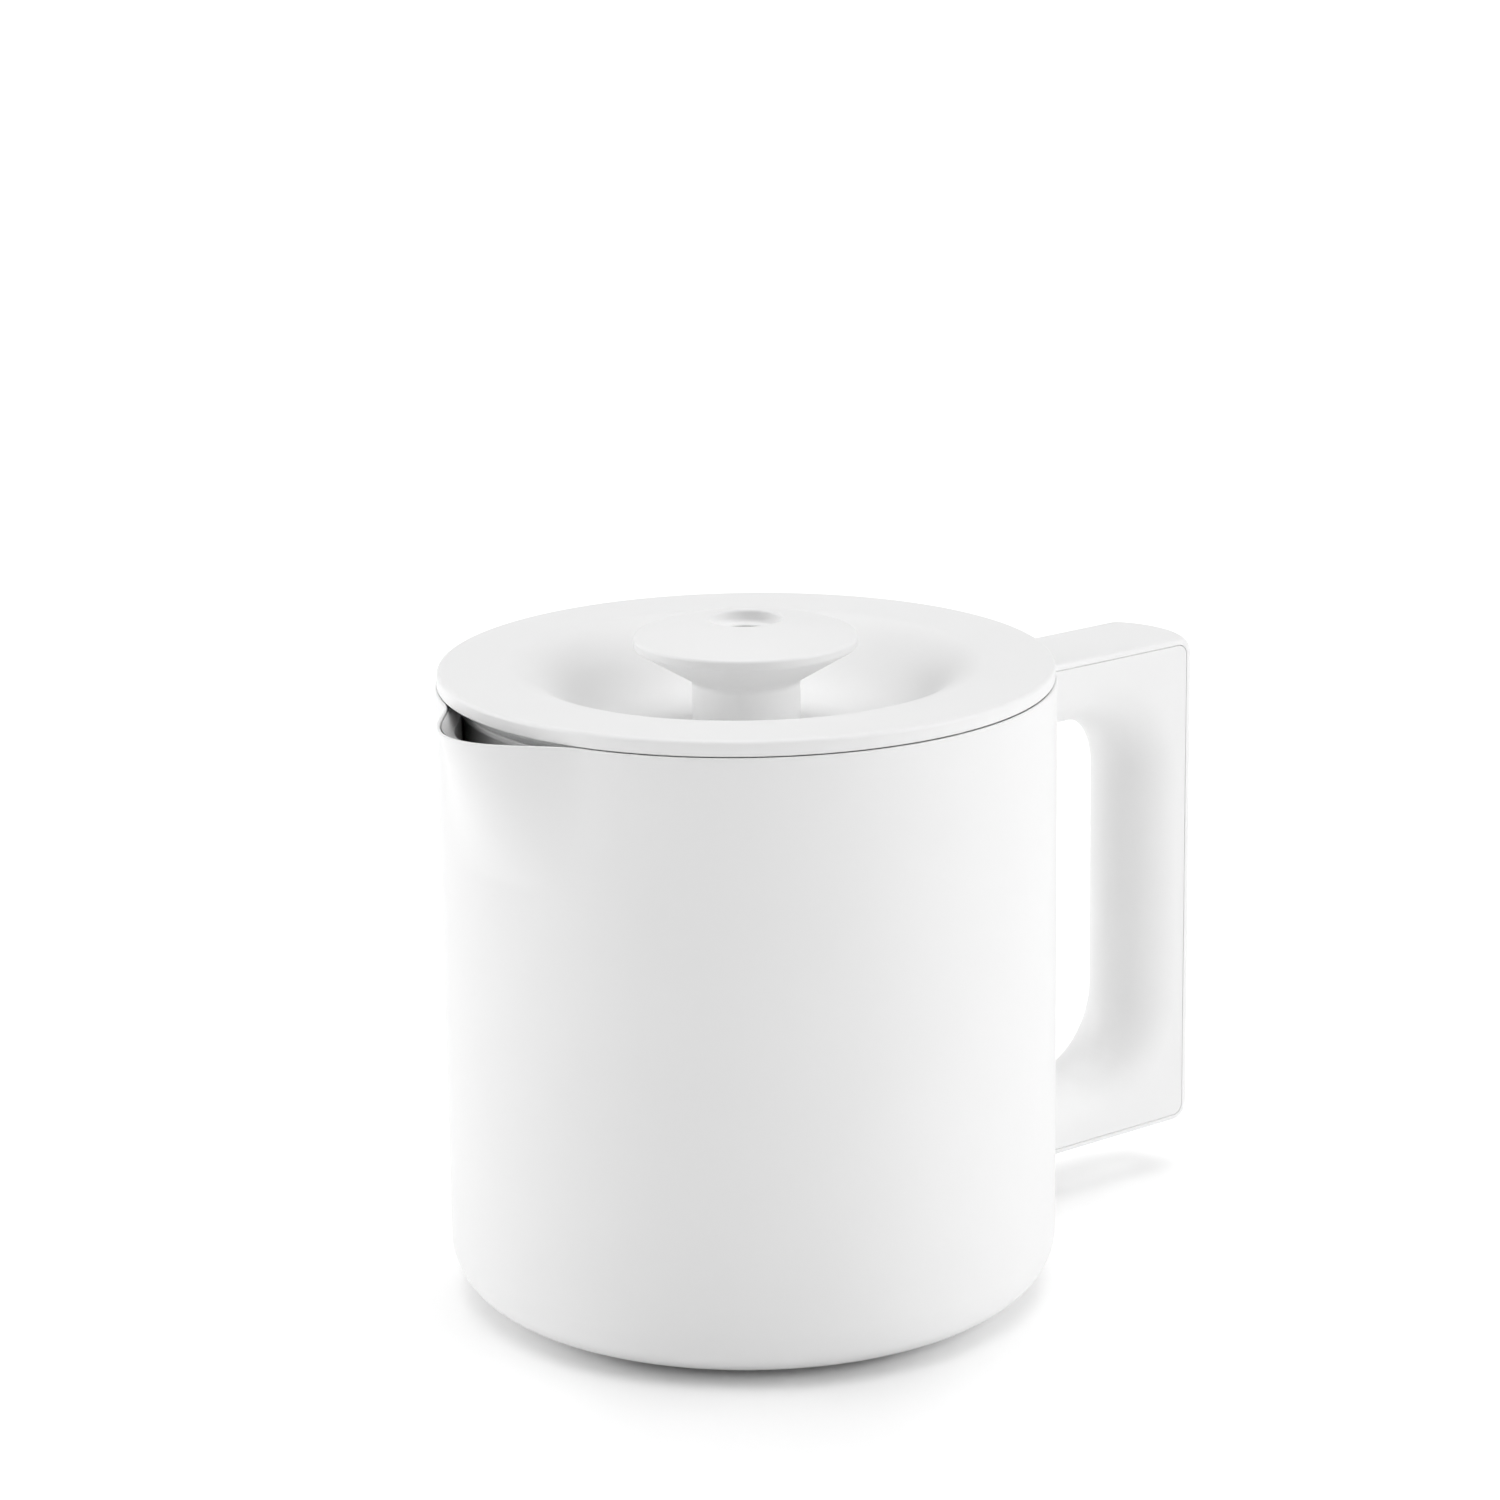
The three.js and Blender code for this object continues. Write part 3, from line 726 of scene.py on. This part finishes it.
def steel(name, level, low, high):
    """Steel with fine lines round the axis of the carafe."""
    material, shader = principled(name, grey(level), low, 1.0)
    lines = noise(material, 30, 4, (1, 1, 150))
    vary_colour(material, shader, lines, grey(level * 0.92), grey(level))
    vary_roughness(material, shader, lines, low, high)
    roughen(material, shader, lines, 0.000003)
    shader.inputs["Anisotropic"].default_value = 0.4
    return material


def speckled(name, low, high, roughness, metallic=0.0):
    """A dull material with fine speckles."""
    material, shader = principled(name, low, roughness, metallic)
    speckle = noise(material, 1500, 4)
    vary_colour(material, shader, speckle, low, high)
    vary_roughness(material, shader, speckle, roughness - 0.06, roughness + 0.06)
    roughen(material, shader, speckle, 0.00002)
    return material


def dress(node, material):
    """Gives a CAD node its finish, and softens its edges."""
    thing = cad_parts[node]
    thing.data.materials.clear()
    thing.data.materials.append(material)
    weld = thing.modifiers.new("weld", "WELD")
    weld.merge_threshold = WELD_DISTANCE
    bevel = thing.modifiers.new("soft_edges", "BEVEL")
    bevel.width = SOFT_EDGE
    bevel.segments = SOFT_EDGE_SEGMENTS
    bevel.limit_method = "ANGLE"
    bevel.angle_limit = SHARP_ANGLE


# Stage

def add_floor(painted_glow):
    """A pale floor with a painted glow, which fades out in a painted shadow patch before the carafe."""
    mesh = bpy.data.meshes.new("floor")
    corners = [(FLOOR_SIZE * x, FLOOR_SIZE * y, 0) for x, y in ((-1, -1), (1, -1), (1, 1), (-1, 1))]
    mesh.from_pydata(corners, [], [(0, 1, 2, 3)])
    material, shader = principled("floor", grey(0.95), 0.9)
    vary_colour(material, shader, noise(material, 2, 2), grey(0.945), grey(0.955))
    nodes = material.node_tree.nodes
    links = material.node_tree.links
    turn = Quaternion((0, 0, 1), CAMERA_AZIMUTH)
    place = nodes.new("ShaderNodeTexCoord")
    placing = nodes.new("ShaderNodeMapping")
    placing.vector_type = "TEXTURE"
    placing.inputs["Location"].default_value = turn @ Vector((0, -PAINTED_SHADOW_DISTANCE, 0))
    placing.inputs["Rotation"].default_value = (0, 0, CAMERA_AZIMUTH)
    placing.inputs["Scale"].default_value = (PAINTED_SHADOW_WIDTH, PAINTED_SHADOW_LENGTH, 1)
    # painted shadow: the floor's glow fades to nothing in this patch before the carafe
    painted_shadow_gradient = nodes.new("ShaderNodeTexGradient")
    painted_shadow_gradient.gradient_type = "SPHERICAL"
    fade = nodes.new("ShaderNodeMapRange")
    fade.interpolation_type = "SMOOTHSTEP"
    fade.inputs["From Max"].default_value = PAINTED_SHADOW_CORE
    fade.inputs["To Min"].default_value = painted_glow
    fade.inputs["To Max"].default_value = 0
    shader.inputs["Emission Color"].default_value = (1, 1, 1, 1)
    links.new(place.outputs["Object"], placing.inputs["Vector"])
    links.new(placing.outputs["Vector"], painted_shadow_gradient.inputs["Vector"])
    links.new(painted_shadow_gradient.outputs["Fac"], fade.inputs["Value"])
    links.new(fade.outputs["Result"], shader.inputs["Emission Strength"])
    mesh.materials.append(material)
    floor = bpy.data.objects.new("floor", mesh)
    bpy.context.scene.collection.objects.link(floor)


def add_light(name, turn, elevation, strength, softness):
    """A far, soft light, turned to the right of the camera. All angles are in degrees."""
    light = bpy.data.lights.new(name, "SUN")
    light.energy = strength
    light.angle = math.radians(softness)
    lamp = bpy.data.objects.new(name, light)
    azimuth = CAMERA_AZIMUTH + math.radians(turn)
    elevation = math.radians(elevation)
    towards = Vector((
        math.sin(azimuth) * math.cos(elevation),
        -math.cos(azimuth) * math.cos(elevation),
        math.sin(elevation),
    ))
    lamp.rotation_euler = towards.to_track_quat("Z", "Y").to_euler()
    lamp.location = towards * LAMP_DISTANCE
    bpy.context.scene.collection.objects.link(lamp)


def add_surroundings(strength):
    """Even light from all round, with a white background for the camera."""
    world = bpy.data.worlds.new("studio")
    bpy.context.scene.world = world
    world.use_nodes = True
    nodes = world.node_tree.nodes
    links = world.node_tree.links
    light = nodes["Background"]
    light.inputs["Color"].default_value = (1, 1, 1, 1)
    light.inputs["Strength"].default_value = strength
    backdrop = nodes.new("ShaderNodeBackground")
    backdrop.inputs["Color"].default_value = (1, 1, 1, 1)
    rays = nodes.new("ShaderNodeLightPath")
    mix = nodes.new("ShaderNodeMixShader")
    links.new(rays.outputs["Is Camera Ray"], mix.inputs["Fac"])
    links.new(light.outputs["Background"], mix.inputs[1])
    links.new(backdrop.outputs["Background"], mix.inputs[2])
    links.new(mix.outputs["Shader"], nodes["World Output"].inputs["Surface"])


def add_camera():
    data = bpy.data.cameras.new("camera")
    data.lens = CAMERA_LENS
    camera = bpy.data.objects.new("camera", data)
    back = Vector((
        math.sin(CAMERA_AZIMUTH) * math.cos(CAMERA_ELEVATION),
        -math.cos(CAMERA_AZIMUTH) * math.cos(CAMERA_ELEVATION),
        math.sin(CAMERA_ELEVATION),
    ))
    camera.location = Vector(CAMERA_TARGET) + back * CAMERA_DISTANCE
    camera.rotation_mode = "QUATERNION"
    aim = (-back).to_track_quat("-Z", "Y")
    roll = Quaternion((0, 0, 1), CAMERA_ROLL)
    tilt = Quaternion((1, 0, 0), CAMERA_TILT)
    camera.rotation_quaternion = aim @ roll @ tilt
    bpy.context.scene.collection.objects.link(camera)
    bpy.context.scene.camera = camera


add_camera()
# the floor's painted glow, with a painted shadow patch before the carafe
add_floor(0.12)
add_surroundings(0.1)
add_light("left_back_light", -120, 20, 0.6, 50)
add_light("left_light", -88, 11, 1.48, 50)
add_light("right_front_light", 60, 20, 1.0, 50)
add_light("right_light", 92, 26, 0.73, 50)
add_light("back_light", 180, 20, 0.25, 50)
add_light("top_light", 180, 86, 1.87, 60)
bpy.context.scene.view_settings.view_transform = "Standard"

paint = white_paint()
plastic = white_plastic()
liner_steel = steel("liner_steel", 0.72, 0.28, 0.38)
plate_steel = steel("plate_steel", 0.55, 0.3, 0.4)
add_outer_shell(paint)
add_inner_vessel(liner_steel)
add_base_pad(speckled("dark_silicone", grey(0.03), grey(0.05), 0.7))
add_handle_cover(plastic)
add_handle_grip(plastic)
add_lid_top(plastic)
add_lid_knob(plastic)
add_lid_plug(plastic)
add_lid_seal(speckled("grey_silicone", (0.82, 0.83, 0.83), (0.87, 0.88, 0.88), 0.6))
grey_plastic = speckled("grey_plastic", (0.6, 0.61, 0.61), (0.64, 0.65, 0.65), 0.5)
for node in ("valve_cage", "brew_valve"):
    dress(node, grey_plastic)
for node in (
    "base_plate",
    "upper_handle_bracket",
    "lower_handle_bracket",
    "upper_handle_screw",
    "lower_handle_screw",
):
    dress(node, plate_steel)
dress("vacuum_seal", speckled("solder", (0.38, 0.39, 0.4), (0.46, 0.47, 0.48), 0.45, 1.0))
dress("getter", speckled("getter_alloy", (0.24, 0.23, 0.22), (0.34, 0.33, 0.32), 0.7, 1.0))
